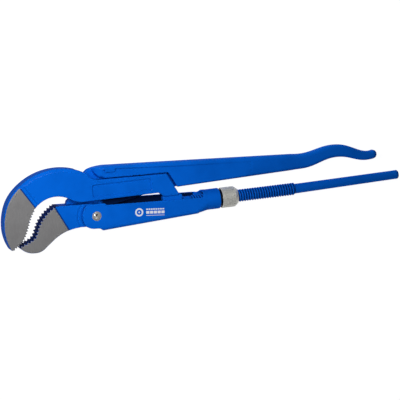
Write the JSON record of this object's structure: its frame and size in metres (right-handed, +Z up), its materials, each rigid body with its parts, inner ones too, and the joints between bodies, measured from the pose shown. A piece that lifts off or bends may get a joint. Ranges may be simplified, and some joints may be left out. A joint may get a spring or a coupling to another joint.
{
  "type": "pipe wrench",
  "caption": "Swedish-pattern pipe wrench with S-shaped toothed jaws, a sliding housing, a knurled adjusting nut and two long handles.",
  "frame": {"origin": "under the middle of the whole tool, on the surface it lies on", "axes": "+X along the adjusting thread towards the ends of the handles, +Y towards the lever handle, +Z up out of the flat side, along the pivot rivet"},
  "size_m": [0.5426, 0.1054, 0.0298],
  "materials": {
    "blue_paint": "semi-gloss blue powder coat over forged steel",
    "polished_steel": "polished steel",
    "nut_steel": "knurled steel, satin",
    "spring_steel": "dark spring steel"
  },
  "bodies": {
    "hook_bar": {"hook_jaw_bar": "blue_paint"},
    "housing": {"housing": "blue_paint", "pivot_rivet": "polished_steel", "nut_snap_ring": "spring_steel"},
    "nut": {"adjusting_nut": "nut_steel"},
    "lever": {"lever_jaw": "blue_paint"}
  },
  "joints": [
    {"name": "housing_slide", "type": "slide", "parent": "hook_bar", "child": "housing", "axis": [1, 0, 0], "range_m": [-0.001, 0.072]},
    {"name": "nut_spin", "type": "hinge", "parent": "housing", "child": "nut", "pos_m": [0.03321, -0.01195, 0.0136], "axis": [1, 0, 0], "range_deg": [-103.9, 7406.7]},
    {"name": "lever_pivot", "type": "hinge", "parent": "housing", "child": "lever", "pos_m": [-0.14879, -0.01395, 0.0136], "axis": [0, 0, 1], "range_deg": [-0.5, 8]}
  ],
  "couplings": [
    {"joint": "nut_spin", "follows": "housing_slide", "rad_per_m": 1795.2}
  ]
}
